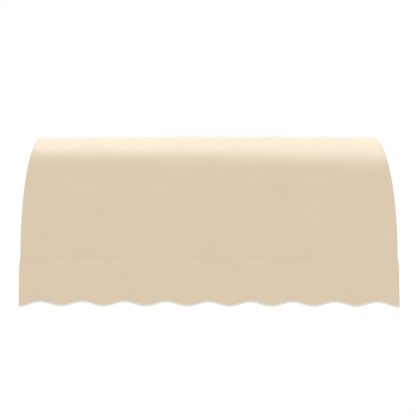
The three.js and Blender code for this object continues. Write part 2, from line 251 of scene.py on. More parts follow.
class Finish:
    """A node material that is put together step by step."""

    def __init__(self, name, **sockets):
        self.material = bpy.data.materials.new(name)
        self.material.use_nodes = True
        self.tree = self.material.node_tree
        self.shader = self.tree.nodes["Principled BSDF"]
        for socket, value in sockets.items():
            self.shader.inputs[socket.replace("_", " ")].default_value = value

    def add(self, kind, joins=None, **settings):
        node = self.tree.nodes.new(kind)
        for key, value in settings.items():
            setattr(node, key, value)
        for socket, value in (joins or {}).items():
            if isinstance(value, bpy.types.NodeSocket):
                self.tree.links.new(value, node.inputs[socket])
            else:
                node.inputs[socket].default_value = value
        return node

    def place(self):
        return self.add("ShaderNodeTexCoord").outputs["Object"]

    def flat(self, name):
        return self.add("ShaderNodeUVMap", uv_map=name).outputs["UV"]

    def maths(self, operation, first, second=0.5):
        return self.add("ShaderNodeMath", {0: first, 1: second}, operation=operation).outputs[0]

    def stretch(self, source, scale):
        return self.add("ShaderNodeMapping", {"Vector": source, "Scale": scale}).outputs[0]

    def noise(self, source, scale, detail=3.0, roughness=0.5):
        joins = {"Vector": source, "Scale": scale, "Detail": detail, "Roughness": roughness}
        return self.add("ShaderNodeTexNoise", joins).outputs["Fac"]

    def ramp(self, fac, dark, light, low=0.3, high=0.7):
        node = self.add("ShaderNodeValToRGB", {"Fac": fac})
        first, last = node.color_ramp.elements
        first.position, last.position = low, high
        first.color, last.color = (*dark, 1), (*light, 1)
        return node.outputs["Color"]

    def spread(self, fac, low, high, start=0.0, end=1.0, **settings):
        """Turns a value between start and end into one between low and high."""
        joins = {"Value": fac, "From Min": start, "From Max": end, "To Min": low, "To Max": high}
        return self.add("ShaderNodeMapRange", joins, **settings).outputs["Result"]

    def shade(self, colour, fac):
        joins = {0: 1.0, 6: colour, 7: fac}
        return self.add("ShaderNodeMix", joins, data_type="RGBA", blend_type="MULTIPLY").outputs[2]

    def bump(self, height, distance, strength=1.0, under=None):
        joins = {"Height": height, "Distance": distance, "Strength": strength}
        if under is not None:
            joins["Normal"] = under
        return self.add("ShaderNodeBump", joins).outputs["Normal"]

    def give(self, **sockets):
        for socket, source in sockets.items():
            self.tree.links.new(source, self.shader.inputs[socket.replace("_", " ")])
        return self.material


print("recipe ready")

# %% [markdown]
# ## Awning cloth
# The cover is dyed acrylic canvas: a plain weave of round threads, dull, with a faint bloom where light
# grazes it. An image of cloth would be quicker, but nodes stay sharp at any distance. Two sines make the
# over-and-under of the weave from the flat map. Threads are never quite even, so a long noise along each
# thread direction varies the colour a little, and a broad one stands for dust and fading.

# %% Mix the awning cloth
CANVAS_COLOUR = (0.704, 0.585, 0.428)
CANVAS_FADE = 0.02  # how far dust and sun take the colour, each way
THREAD_PITCH = 0.0007
THREAD_DEPTH = 0.00012
SLUB_DEPTH = 0.0001
SLUB_ACROSS, SLUB_ALONG = 1400, 14  # uneven places a metre, across a thread and along it
DUST_PATCHES = 5.0  # patches a metre


def weave_height(finish, flat, pitch):
    """The over-and-under of a plain weave: 1 where a thread comes over, 0.5 where it goes under."""
    axes = finish.add("ShaderNodeSeparateXYZ", {"Vector": flat})
    warp, weft = (
        finish.maths("SINE", finish.maths("MULTIPLY", axes.outputs[axis], math.pi / pitch)) for axis in "XY")
    return finish.spread(finish.maths("MULTIPLY", warp, weft), 0.5, 1.0)


def woven(name, colour, pitch, depth, fade):
    """A plain-weave cloth that follows the flat map of its piece."""
    finish = Finish(name, Sheen_Weight=0.12, Sheen_Roughness=0.45, Specular_IOR_Level=0.2)
    flat = finish.flat(CUT_MAP)
    height = weave_height(finish, flat, pitch)
    slub_warp = finish.noise(finish.stretch(flat, (SLUB_ACROSS, SLUB_ALONG, 1)), 1.0, 2.0)
    slub_weft = finish.noise(finish.stretch(flat, (SLUB_ALONG, SLUB_ACROSS, 1)), 1.0, 2.0)
    slub = finish.maths("MULTIPLY", finish.maths("ADD", slub_warp, slub_weft), 0.5)
    dust = finish.noise(flat, DUST_PATCHES, 4.0, 0.6)
    dark, light = ([part * (1 + way * fade) for part in colour] for way in (-1, 1))
    tint = finish.ramp(dust, dark, light)
    tint = finish.shade(tint, finish.spread(slub, 0.92, 1.08))
    # Painted light and shade: raised threads are made up to a tenth lighter than the low places where a
    # thread goes under
    tint = finish.shade(tint, finish.spread(height, 0.9, 1.1))
    rough = finish.spread(slub, 0.8, 0.96)
    normal = finish.bump(slub, SLUB_DEPTH, 0.5, finish.bump(height, depth, 0.8))
    return finish.give(Base_Color=tint, Roughness=rough, Normal=normal)


canvas = woven("awning_canvas", CANVAS_COLOUR, THREAD_PITCH, THREAD_DEPTH, CANVAS_FADE)
print("canvas threads", THREAD_PITCH * 1000, "mm apart")

# %% [markdown]
# ## The cover
# The top is two widths of canvas joined by a felled seam, so it is one continuous sheet. The seam lies a
# little to the right of the middle, where it doesn't rub on the centre rafter. At both ends the sheet
# rolls over the outer rafters and laps the side by a finger's width. Cloth simulation could drape it, but
# a cover that is laced tight hardly moves: it sinks a few millimetres between the rafters and stands a
# little proud along its crown. Those small moves are worked out as it is hung.

# %% Shape the cover
SIDE_LAP = 0.010
SEAM_X = 0.021
SEAM_HALF = 0.009  # half the width of the felled seam
SEAM_EDGE = 0.0007
SEAM_RAISE = 0.0004
SEAM_END = BEND.z + 0.022  # the seam goes flat where the valance covers it
SAG = 0.0025
CROWN = 0.006
CROWN_RISE, CROWN_FALL = (0.0, 0.16), (0.25, 0.7)  # along the cover, from its edge on the head bar

quarter_roll = CLOTH_RADIUS * math.pi / 2
COVER_HALF = FRAME_X + quarter_roll + SIDE_LAP


def lift_off(across, along):
    """How far the cover stands off the line of the rafters."""
    bay = math.sin(math.pi * across / FRAME_X) ** 2
    sag = -SAG * bay * math.sin(math.pi * along / cover_line.length)
    crest = 1 - (across / FRAME_X) ** 2
    crown = CROWN * crest * swell(along, *CROWN_RISE) * (1 - swell(along, *CROWN_FALL))
    shown = swell(cover_line.at(along).z, BEND.z, SEAM_END)
    felled = SEAM_RAISE * shown * (1 - swell(abs(across - SEAM_X), SEAM_HALF, SEAM_HALF + SEAM_EDGE))
    return sag + crown + felled


def hang_cover(across, along):
    place, out = cover_line.at(along), cover_line.outward(along)
    reach = abs(across) - FRAME_X
    roll = min(max(reach / CLOTH_RADIUS, 0), math.pi / 2)
    lap = max(reach - quarter_roll, 0)
    off = CLOTH_RADIUS * math.cos(roll) - lap
    if reach < 0:
        off += lift_off(across, along)
    side = min(abs(across), FRAME_X) + CLOTH_RADIUS * math.sin(roll)
    held = place + out * (off - CLOTH_RADIUS)
    return Vector((math.copysign(side, across), held.y, held.z))


print(f"cover cut {COVER_HALF * 2:.3f} by {cover_line.length:.3f} m")

# %% Hang the cover
COVER_COLUMNS = 96
ROLL_STEPS = 8

even_lines = np.linspace(-FRAME_X, FRAME_X, COVER_COLUMNS + 1)
roll_parts = np.linspace(0, 1, ROLL_STEPS + 1)
roll_lines = [way * (FRAME_X + quarter_roll * part) for way in (-1, 1) for part in roll_parts]
lap_lines = [way * (FRAME_X + quarter_roll + SIDE_LAP * part) for way in (-1, 1) for part in (0.5, 1)]
seam_lines = [SEAM_X + way * (SEAM_HALF + part * SEAM_EDGE) for way in (-1, 1) for part in (0, 0.5, 1)]
cover_columns = sorted([*with_lines(even_lines, *roll_lines), *seam_lines, *lap_lines])
cover = show("cover", cut_and_hang(cover_columns, cover_line.lengths, hang_cover), canvas)
thicken(cover)
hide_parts("cover_panel_left", "cover_panel_right")

# %% [markdown]
# ## The side wings
# Each side is closed by a flat wing that is sewn under the lap of the cover, with a hem along the wall and
# along the bottom. It is a flat shape with one curved edge, so its rows run level from the curved edge to
# the wall, and the grid ends where the cloth ends. Wings are pulled tight, and bow in by three
# millimetres only.

# %% Shape the wings
WING_GAP = 0.0003  # from the tubes to the middle of the cloth
WING_X = FRAME_X + TUBE_RADIUS + WING_GAP
WING_TUCK = 0.0015  # the wing's edge goes this far up under the roll of the cover
WING_LEAN = 0.0001  # the front edge leans out by this much below the front bar's middle
WING_HEM = 0.025
HEM_STEP = 0.0005
HEM_EDGE = 0.001
WING_BOW = 0.003
WING_DEPTH = -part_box("side_wing_right")[0].z

wing_edge = over_rafter(WING_TUCK)
wing_edge += [(FRONT.y - WING_TUCK, FRONT.z), (FRONT.y - WING_TUCK - WING_LEAN, -WING_DEPTH)]
wing_edge_y = [y for y, z in wing_edge]
wing_edge_depth = [-z for y, z in wing_edge]


def wing_front(depth):
    return float(np.interp(depth, wing_edge_depth, wing_edge_y))


def lay_wing(share, depth):
    front = wing_front(depth)
    return front + (WALL_EDGE - front) * share, depth


def hang_wing(way):
    def hang(y, depth):
        front = wing_front(depth)
        share = (y - front) / (WALL_EDGE - front)
        bow = max(math.sin(math.pi * share) * math.sin(math.pi * depth / WING_DEPTH), 0)
        wall_hem = 1 - swell(WALL_EDGE - y, WING_HEM, WING_HEM + HEM_EDGE)
        low_hem = 1 - swell(WING_DEPTH - depth, WING_HEM, WING_HEM + HEM_EDGE)
        off = HEM_STEP * max(wall_hem, low_hem) - WING_BOW * bow
        return Vector((way * (WING_X + off), y, -depth))

    return hang


print(f"wings {WALL_EDGE - min(wing_edge_y):.3f} by {WING_DEPTH:.3f} m")

# %% Hang the wings
SIDES = {"left": -1, "right": 1}
WING_COLUMNS = 60

hem_lines = [WING_DEPTH - WING_HEM - HEM_EDGE * part for part in (0, 1)]
wing_rows = with_lines(wing_edge_depth, *hem_lines)
wing_shares = list(np.linspace(0, 1, WING_COLUMNS + 1))
row_middles = [(high + low) / 2 for high, low in zip(wing_rows, wing_rows[1:])]
wing_area = float(np.dot([WALL_EDGE - wing_front(depth) for depth in row_middles], np.diff(wing_rows)))
wings = {}
for side, way in SIDES.items():
    bm = cut_and_hang(wing_shares, wing_rows, hang_wing(way), lay_wing, turn_over=way > 0)
    wings[side] = show(f"wing_{side}", bm, canvas)
    thicken(wings[side])
    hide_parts(f"side_wing_{side}")
print(f"each wing has {wing_area:.3f} square metres")

# %% [markdown]
# ## The sleeves
# The bars run through sleeves that are sewn behind the cover. A sleeve starts at its seam, drops to the
# bar, goes round it and ends beside the cover's edge. It could be a cylinder with a slit, but the drop to
# the seam gives it a pear-shaped section, so it is a strip that is bent along its own line.

# %% Hang the sleeves
SLEEVE_GAP = 0.0008
SLEEVE_TURN = math.radians(4)
SLEEVE_COLUMNS = 40


def hang_sleeve(line):
    def hang(across, along):
        place = line.at(along)
        return Vector((across, place.y, place.z))

    return hang


head_seam = (BEND.y, HEAD.z + CLOTH_RADIUS - SLEEVE_GAP)
head_turn = touch_turn(head_seam, HEAD, CLOTH_RADIUS, 1)
head_round = arc(HEAD, CLOTH_RADIUS, head_turn, COVER_START - SLEEVE_TURN + 2 * math.pi)
front_seam = (FOOT_Y - CLOTH_RADIUS + SLEEVE_GAP, BEND.z)
front_turn = touch_turn(front_seam, FRONT, CLOTH_RADIUS, -1) + 2 * math.pi
front_round = arc(FRONT, CLOTH_RADIUS, COVER_END + SLEEVE_TURN, front_turn)
sleeve_lines = {
    "head": ClothLine([head_seam] + head_round),
    "front": ClothLine(front_round + [front_seam]),
}
sleeves = {}
for bar, line in sleeve_lines.items():
    for side in SIDES:
        low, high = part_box(f"{bar}_pocket_{side}")
        columns = list(np.linspace(low.x, high.x, SLEEVE_COLUMNS + 1))
        bm = cut_and_hang(columns, line.lengths, hang_sleeve(line))
        sleeve = show(f"{bar}_sleeve_{side}", bm, canvas)
        thicken(sleeve)
        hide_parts(f"{bar}_pocket_{side}")
        sleeves[f"{bar}_bar_{side}"] = sleeve, (high.x - low.x, line.length)
print("sleeves:", len(sleeves))

# %% [markdown]
# ## The valance
# The strip with the wavy hem hangs from the front bar and goes round both corners to the wall in one
# length. Its upper edge is sewn to the cover above the bar and again below it. Below the second seam it
# hangs free, so it leans out a little and ripples. In plan it is a long line with two round corners, and
# a flat place on the strip is a place along that line and a depth below its upper edge.

# %% Measure the valance
LAP_GAP = 0.0008
SIDE_X = FRAME_X + CLOTH_RADIUS + LAP_GAP
CORNER = SIDE_X - FRAME_X  # the radius of the corner in plan
CREST_Y = FRONT.y - CLOTH_RADIUS - LAP_GAP
VALANCE_TOP = BEND.z - 0.003  # just below the bend of the rafters
SEWN = (0.003, 0.037, 0.069)  # depths of the upper seam, the crease on the bar and the lower seam
HEM_SWING = 0.0135
TAPE_BELOW = 0.0011  # the folded tape below the raw hem
HEM_DEPTH = VALANCE_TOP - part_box("front_binding")[0].z - HEM_SWING - TAPE_BELOW  # in the mean
FRONT_WAVES, SIDE_WAVES = 9, 2
CORNER_DROP = 0.0045  # the strip hangs lower where it turns the corner
CORNER_NEAR, CORNER_FAR = 0.01, 0.09  # the drop is whole this near to the corner, and gone that far off

corner_run = CORNER * math.pi / 2
side_run = WALL_EDGE - (CREST_Y + CORNER)
front_half = FRAME_X + corner_run / 2
VALANCE_HALF = FRAME_X + corner_run + side_run


def hem_at(run):
    """The depth of the wavy hem at a place along the strip, most at the corners."""
    from_corner = abs(abs(run) - front_half)
    middle_depth = HEM_DEPTH + CORNER_DROP * (1 - swell(from_corner, CORNER_NEAR, CORNER_FAR))
    if abs(run) < front_half:
        return middle_depth - HEM_SWING * math.cos(math.pi * FRONT_WAVES * run / front_half)
    beyond = (abs(run) - front_half) / (VALANCE_HALF - front_half)
    return middle_depth + HEM_SWING * math.cos(2 * math.pi * SIDE_WAVES * beyond)


print(f"valance strip {VALANCE_HALF * 2:.3f} m long, {HEM_DEPTH:.3f} m deep in the mean")

# %% Shape the valance
FRONT_FLARE, SIDE_FLARE = 0.004, 0.0065
SEWN_LEAN, FREE_LEAN = 0.7, 0.3  # shares of the flare, over the bar and where the strip hangs free
LEAN_PAST = 0.02  # the lean over the bar ends this far below the lower seam
RIPPLE = 0.002
RIPPLES = ((0.6, 0.53, 0.7), (0.4, 0.31, 2.1))  # share, length of the wave and where it starts
RIPPLE_PAST = 0.06  # the ripples would be whole this far below the hem
EDGE_PRESS = 0.0004  # the upper edge is sewn down flat
DIMPLE = 0.0006
DIMPLE_HALF = 0.003

bar_front = [(y, z) for y, z in front_arc if z > FRONT.z]
front_arc_y = [over[-1][0]] + [y for y, z in bar_front]
front_arc_depth = [VALANCE_TOP - BEND.z] + [VALANCE_TOP - z for y, z in bar_front]


def front_at(depth):
    """How far out the front of the strip is, where it lies on the cover."""
    crest = VALANCE_TOP - FRONT.z
    on_cover = np.interp(depth, [*front_arc_depth, crest], [*front_arc_y, CREST_Y + LAP_GAP])
    return float(on_cover) - LAP_GAP


def plan(run, front):
    """A place along the strip seen from above, and the way that it faces."""
    half, way = abs(run), math.copysign(1, run)
    if half < FRAME_X:
        return Vector((run, front, 0)), Vector((0, -1, 0))
    turn = (half - FRAME_X) / CORNER
    if turn < math.pi / 2:
        out = Vector((way * math.sin(turn), -math.cos(turn), 0))
        return Vector((way * FRAME_X, front + CORNER, 0)) + out * CORNER, out
    share = (half - FRAME_X - corner_run) / side_run
    y = front + CORNER + (WALL_EDGE - front - CORNER) * share
    return Vector((way * SIDE_X, y, 0)), Vector((way, 0, 0))


def stand_off(run, depth, side):
    """How far the strip stands out from where it is sewn, on the front and on the sides."""
    sewn_lean = SEWN_LEAN * swell(depth, SEWN[0], SEWN[-1] + LEAN_PAST)
    free_lean = FREE_LEAN * swell(depth, SEWN[-1], HEM_DEPTH)
    flare = (sewn_lean + free_lean) * (FRONT_FLARE + (SIDE_FLARE - FRONT_FLARE) * side)
    wave = sum(share * math.sin(2 * math.pi * run / length + start) for share, length, start in RIPPLES)
    free = swell(depth, SEWN[-1], HEM_DEPTH + RIPPLE_PAST)
    drawn = sum(max(1 - abs(depth - seam) / DIMPLE_HALF, 0) for seam in SEWN[1:])
    pressed = EDGE_PRESS * (1 - swell(depth, SEWN[0], 3 * SEWN[0]))
    return flare + free * RIPPLE * wave - DIMPLE * drawn - pressed


def hang_valance(run, depth):
    place, out = plan(run, front_at(depth))
    place += out * stand_off(run, depth, abs(out.x))
    return Vector((place.x, place.y, VALANCE_TOP - depth))


print(f"its hem stands {stand_off(0, HEM_DEPTH, 0) * 1000:.1f} mm out in the middle")

# %% Hang the valance
UPPER_ROWS = np.linspace(0, 0.06, 13)  # every 5 mm, down towards the lower seam
FREE_ROWS = (0.007, 0.014, *np.linspace(0.04, 1, 25))  # shares of the way from that seam to the hem
WAVE_COLUMNS = 20
CORNER_COLUMNS = 8
SIDE_COLUMNS = 40


def lay_valance(run, row):
    """Rows below the lower seam are shared out down to the hem."""
    free = max(row - SEWN[-1], 0)
    return run, row if free == 0 else SEWN[-1] + (hem_at(run) - SEWN[-1]) * free


dimple_steps = [part * DIMPLE_HALF for part in (-1, -0.5, 0, 0.5, 1)]
drawn_rows = [seam + step for seam in SEWN[:2] for step in dimple_steps]
drawn_rows += [SEWN[-1] + step for step in dimple_steps[:3]]
valance_rows = with_lines(UPPER_ROWS, *drawn_rows) + [SEWN[-1] + share for share in FREE_ROWS]

corner_parts = np.arange(1, CORNER_COLUMNS + 1) / CORNER_COLUMNS
side_parts = np.arange(SIDE_COLUMNS) / SIDE_COLUMNS
valance_runs = sorted(
    [*np.linspace(-FRAME_X, FRAME_X, WAVE_COLUMNS * FRONT_WAVES + 1)]
    + [way * (FRAME_X + corner_run * part) for way in (-1, 1) for part in corner_parts]
    + [way * (VALANCE_HALF - side_run * part) for way in (-1, 1) for part in side_parts])
bm = cut_and_hang(valance_runs, valance_rows, hang_valance, lay_valance)
valance = show("valance", bm, canvas)
thicken(valance)
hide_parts("front_valance", "side_valance_left", "side_valance_right")
run_middles = [(first + second) / 2 for first, second in zip(valance_runs, valance_runs[1:])]
valance_area = float(np.dot([hem_at(run) for run in run_middles], np.diff(valance_runs)))
print(f"valance cloth {valance_area:.3f} square metres")

# %% [markdown]
# ## The binding
# A pale tape is folded over the raw hem and sewn through. It is finer than the canvas, as a woven edging
# is. It could be painted on the valance as a stripe, but a real one has its own edge, which catches light
# and shows from behind, so the fold is modelled: down the face, round the hem, and up the back.

# %% Fold the binding
TAPE_WIDTH = 0.0125
TAPE_THICK = 0.0004
TAPE_OFF = 0.0007
TAPE_FOLD = 0.0009
FOLD_STEPS = 8
TAPE_COLOUR = (0.73, 0.71, 0.68)
TAPE_FADE = 0.015
TAPE_PITCH = 0.0005
TAPE_DEPTH = 0.0001  # of its weave

face_down = [(TAPE_OFF, -TAPE_WIDTH * (1 - part)) for part in (0, 0.33, 0.66)]
fold_turns = np.linspace(0, math.pi, FOLD_STEPS + 1)
round_hem = [(TAPE_OFF * math.cos(turn), TAPE_FOLD * math.sin(turn)) for turn in fold_turns]
tape_section = np.array(face_down + round_hem + [(-off, fall) for off, fall in face_down[::-1]])
tape_steps = [0.0, *np.cumsum(np.linalg.norm(np.diff(tape_section, axis=0), axis=1))]


def hang_tape(run, step):
    off, fall = (float(np.interp(step, tape_steps, tape_section[:, axis])) for axis in (0, 1))
    _, out = plan(run, CREST_Y)
    return hang_valance(run, hem_at(run) + fall) + out * off


tape = woven("binding_tape", TAPE_COLOUR, TAPE_PITCH, TAPE_DEPTH, TAPE_FADE)
binding = show("binding", cut_and_hang(valance_runs, tape_steps, hang_tape), tape)
thicken(binding, TAPE_THICK)
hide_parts("front_binding", "side_binding_left", "side_binding_right")
print(f"tape cut {tape_steps[-1] * 1000:.1f} mm wide")

# %% [markdown]
# ## Stitching
# Lock stitches show as a row of short thread ends, like grains of rice pressed into the cloth. They could
# be bumps in the material, but then they would vanish from the edge and from the mesh. One
# stretched ball of twenty faces is enough for a stitch, and it is set again and again along each row, on
# the same hanging surface that the cloth has.

# %% Helpers for stitching
STITCH_PITCH = 0.005
STITCH_SIZE = Matrix.Diagonal((0.0018, 0.0004, 0.0004, 1))  # half its length, width and height
NEARBY = 0.0005  # how far off a sheet is felt, to see which way it faces


def facing(hang, across, along):
    """The way that a hung sheet faces at a flat place."""
    side = hang(across + NEARBY, along) - hang(across - NEARBY, along)
    down = hang(across, along + NEARBY) - hang(across, along - NEARBY)
    return down.cross(side).normalized()


def row_of(start, end):
    """Flat places at even stitches from one end of a row to the other."""
    count = max(2, round(math.dist(start, end) / STITCH_PITCH))
    return [tuple(place) for place in np.linspace(start, end, count + 1)]


def sew(bm, hang, row, off):
    """Sets a row of stitches on a hung sheet."""
    for place, beyond in zip(row, row[1:]):
        here, there, out = hang(*place), hang(*beyond), facing(hang, *place)
        along = (there - here).normalized()
        aside = out.cross(along).normalized()
        turn = Matrix((along, aside, along.cross(aside))).transposed().to_4x4()
        spot = Matrix.Translation((here + there) / 2 + out * off)
        bmesh.ops.create_icosphere(bm, subdivisions=1, radius=1.0, matrix=spot @ turn @ STITCH_SIZE)


thread_finish = Finish("sewing_thread", Roughness=0.7, Sheen_Weight=0.2, Specular_IOR_Level=0.3)
twist = thread_finish.noise(thread_finish.place(), 900.0, 2.0)
thread = thread_finish.give(
    Base_Color=thread_finish.ramp(twist, (0.70, 0.60, 0.45), (0.84, 0.73, 0.57)),
    Normal=thread_finish.bump(twist, 0.0002, 0.5))
print(f"stitches every {STITCH_PITCH * 1000:.0f} mm")

# %% [markdown]
# ## Where the stitching runs
# The felled seam has two rows, and the lap over each wing and the head sleeve have one each. The valance
# has a row at its top and one below the bar, the tape has one row, and so do the hems of the wings. The
# rows of one sheet make one piece, because a sewer would unpick them as one.

# %% Sew the cover
THREAD_OFF = CLOTH_THICK / 2 - 0.0002  # a tight stitch sinks into the cloth
ROW_IN = 0.004  # from an edge or a fold to the row of stitches beside it
SEAM_ROW = 0.007  # from the middle of the felled seam to each of its rows
LAP_ROW = SIDE_LAP * 0.45  # from the edge of a side lap to its row
LAP_START = 0.03  # from the edge on the head bar to the first stitch of a side lap
HEAD_ENDS = 0.02  # from a rafter to the ends of the row along the head
FOOT_STOP = 0.009  # from the end of the rafters' bend to the last stitch above it

lap_row = COVER_HALF - LAP_ROW
head_row = float(cover_line.lengths[len(head_arc)]) - ROW_IN
foot = float(cover_line.lengths[len(head_arc) + len(over) - 1]) - FOOT_STOP
bm = bmesh.new()
for way in SIDES.values():
    seam_row = SEAM_X + way * SEAM_ROW
    sew(bm, hang_cover, row_of((seam_row, ROW_IN), (seam_row, foot)), THREAD_OFF)
    sew(bm, hang_cover, row_of((way * lap_row, LAP_START), (way * lap_row, foot)), THREAD_OFF)
    head_ends = (way * HEAD_ENDS, head_row), (way * (FRAME_X - HEAD_ENDS), head_row)
    sew(bm, hang_cover, row_of(*head_ends), THREAD_OFF)
cover_stitches = show("cover_stitches", bm, thread)

# %% Sew the valance and its binding
TAPE_ROW = 0.003  # from the upper edge of the tape
TAPE_THREAD_OFF = TAPE_THICK / 2 - 0.0001


def strip_row(depth):
    """A row along the whole strip, from wall to wall."""
    end = VALANCE_HALF - ROW_IN
    return row_of((-end, depth), (end, depth))


bm = bmesh.new()
for depth in (SEWN[0], SEWN[-1]):
    sew(bm, hang_valance, strip_row(depth), THREAD_OFF)
valance_stitches = show("valance_stitches", bm, thread)

bm = bmesh.new()
sew(bm, hang_tape, strip_row(TAPE_ROW), TAPE_THREAD_OFF)
binding_stitches = show("binding_stitches", bm, thread)

# %% Sew the hems of the wings
WING_ROW_TOP = 0.006
WING_ROW_FRONT = 0.02  # from the front edge to the first stitch of the lower hem

wall_row = WALL_EDGE - WING_HEM + ROW_IN
low_row = WING_DEPTH - WING_HEM + ROW_IN
low_start = wing_front(low_row) + WING_ROW_FRONT
for side, way in SIDES.items():
    bm = bmesh.new()
    sew(bm, hang_wing(way), row_of((wall_row, WING_ROW_TOP), (wall_row, low_row)), way * THREAD_OFF)
    sew(bm, hang_wing(way), row_of((low_start, low_row), (wall_row, low_row)), way * THREAD_OFF)
    show(f"wing_stitches_{side}", bm, thread)

# %% [markdown]
# ## Satin tube
# The frame is drawn aluminium tube with a satin finish. Drawing leaves fine lines along a tube, and hands
# leave faint scuffs. The CAD tubes have only a few sides, so each tube is drawn again here with a round
# skin: a circle that is extruded ring by ring along the tube's middle line. A flat map of turn and length
# lets the drawn lines follow the bend of the rafters.

# %% Mix the tube finish
DRAW_MAP = "Draw"
DRAWN_LINES = (2600, 6, 1)  # marks a metre round the tube and along it
SCUFFS = (60, 12, 1)

tube_finish = Finish("satin_tube", Metallic=1.0)
drawn = tube_finish.flat(DRAW_MAP)
lines = tube_finish.noise(tube_finish.stretch(drawn, DRAWN_LINES), 1.0, 2.0)
scuffs = tube_finish.noise(tube_finish.stretch(drawn, SCUFFS), 1.0, 5.0, 0.65)
metal = tube_finish.ramp(scuffs, (0.66, 0.665, 0.67), (0.76, 0.765, 0.77))
satin = tube_finish.give(
    Base_Color=tube_finish.shade(metal, tube_finish.spread(lines, 0.9, 1.06)),
    Roughness=tube_finish.spread(scuffs, 0.26, 0.5),
    Normal=tube_finish.bump(lines, 0.00004, 0.6))
print("tube finish mixed")

# %% Helpers for tubes
TUBE_SIDES = 40
TUBE_WALL = 0.0015


def map_tube(bm, flat):
    """Writes turn and length as a flat map, with the turn carried on across its seam."""
    flat_map = bm.loops.layers.uv[DRAW_MAP]
    for face in bm.faces:
        turns = [flat[loop.vert][0] for loop in face.loops]
        wraps = max(turns) - min(turns) > math.pi
        for loop, turn in zip(face.loops, turns):
            turn += 2 * math.pi if wraps and turn < 0 else 0
            loop[flat_map].uv = (turn * TUBE_RADIUS, flat[loop.vert][1])


def draw_tube(name, node, path, across):
    """Extrudes a circle ring by ring along a path that lies flat to the direction across."""
    bm = bmesh.new()
    bm.loops.layers.uv.new(DRAW_MAP)
    rings = []
    for before, here, after in zip([path[0], *path], path, [*path[1:], path[-1]]):
        along = (after - before).normalized()
        axes = Matrix((across, along.cross(across), along)).transposed()
        rings.append(Matrix.Translation(here) @ axes.to_4x4())
    bmesh.ops.create_circle(bm, segments=TUBE_SIDES, radius=TUBE_RADIUS, matrix=rings[0])
    edges, verts = bm.edges[:], bm.verts[:]
    flat, length = {}, 0.0
    for ring, after in zip(rings, [*rings[1:], None]):
        for vert in verts:
            local = ring.inverted() @ vert.co
            flat[vert] = (math.atan2(local.y, local.x), length)
        if after is None:
            break
        made = bmesh.ops.extrude_edge_only(bm, edges=edges)["geom"]
        verts = [part for part in made if isinstance(part, bmesh.types.BMVert)]
        edges = [part for part in made if isinstance(part, bmesh.types.BMEdge)]
        bmesh.ops.transform(bm, matrix=after @ ring.inverted(), verts=verts)
        length += (after.translation - ring.translation).length
    bmesh.ops.recalc_face_normals(bm, faces=bm.faces)
    map_tube(bm, flat)
    tube = show(name, bm, satin)
    wall = tube.modifiers.new("Wall", "SOLIDIFY")
    wall.thickness = TUBE_WALL
    wall.offset = -1
    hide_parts(node)
    return tube


print("tubes have", TUBE_SIDES, "sides")

# %% Draw the tubes
RAFTERS = {"left": -FRAME_X, "centre": 0.0, "right": FRAME_X}

for node in ("head_bar", "front_bar", "side_arm", "wall_post"):
    for side in SIDES:
        low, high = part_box(f"{node}_{side}")
        size, centre = high - low, (low + high) / 2
        axis = max(range(3), key=lambda part: size[part])
        along = Vector([size[axis] / 2 if part == axis else 0 for part in range(3)])
        across = Vector((0, 0, 1)) if axis != 2 else Vector((1, 0, 0))
        path = [centre + along * step for step in (-1, 1)]
        draw_tube(f"{node}_tube_{side}", f"{node}_{side}", path, across)

rafter_axis = [(rafter_high.y, HEAD.z)] + over_rafter(0) + [(FOOT_Y, rafter_low.z)]
for place, x in RAFTERS.items():
    path = [Vector((x, y, z)) for y, z in rafter_axis]
    draw_tube(f"rafter_tube_{place}", f"rafter_{place}", path, Vector((1, 0, 0)))

# %% [markdown]
# ## Cast fittings
# The tubes are joined by aluminium castings. Sand leaves a fine grain on them, and no edge is sharp. A
# bevel on every edge would be the usual way, but where turned and flat shapes meet in one body the edges
# are too tangled for it. A voxel remesh gives a copy of the CAD solid one even skin, and a smoothing
# rounds each edge and fillet a little, as the mould does. Handling wears the grain off the edges, so the
# finish is brighter and smoother where the skin bulges.

# %% Mix the casting finish
BULGE_START, BULGE_END = 0.52, 0.6  # how far the skin bulges where wear begins and where it is whole

cast_finish = Finish("cast_metal", Metallic=1.0)
spot = cast_finish.place()
grain = cast_finish.noise(spot, 900.0, 3.0, 0.6)
patches = cast_finish.noise(spot, 45.0, 4.0, 0.6)
bulge = cast_finish.add("ShaderNodeNewGeometry").outputs["Pointiness"]
worn = cast_finish.spread(bulge, 0.0, 1.0, BULGE_START, BULGE_END)
metal = cast_finish.ramp(patches, (0.50, 0.505, 0.51), (0.62, 0.625, 0.63))
metal = cast_finish.shade(metal, cast_finish.spread(grain, 0.82, 1.1))
rough = cast_finish.spread(patches, 0.42, 0.62)
cast = cast_finish.give(
    Base_Color=cast_finish.shade(metal, cast_finish.spread(worn, 1.0, 1.25)),
    Roughness=cast_finish.maths("MULTIPLY", rough, cast_finish.spread(worn, 1.0, 0.7)),
    Normal=cast_finish.bump(grain, 0.0003, 0.6))
print("casting finish mixed")

# %% Cast the fittings
SKIN = 0.0009  # the size of a voxel
SAME_POINT = 0.00001
ROUNDING_STEPS = 5

casting_nodes = sorted(name for name in nodes if name.startswith(("head_c", "front_c", "wall_foot")))
for node in casting_nodes:
    bm = bmesh.new()
    bm.from_mesh(nodes[node].data)
    bmesh.ops.remove_doubles(bm, verts=bm.verts, dist=SAME_POINT)
    fitting = show(f"{node}_casting", bm, cast)
    skin = fitting.modifiers.new("Skin", "REMESH")
    skin.mode = "VOXEL"
    skin.voxel_size = SKIN
    skin.use_smooth_shade = True
    rounding = fitting.modifiers.new("Rounding", "SMOOTH")
    rounding.factor = 0.5
    rounding.iterations = ROUNDING_STEPS
    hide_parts(node)
print("castings:", len(casting_nodes))

# %% [markdown]
# ## Locking screws
# A small button screw locks each spigot in its tube. One screw is turned from a short cone, its rim is
# rounded with a bevel, and a socket is sunk in it by an inset. The bars have theirs under the sleeves, so
# only the rafters, arms and posts show them, on the side away from the cloth.

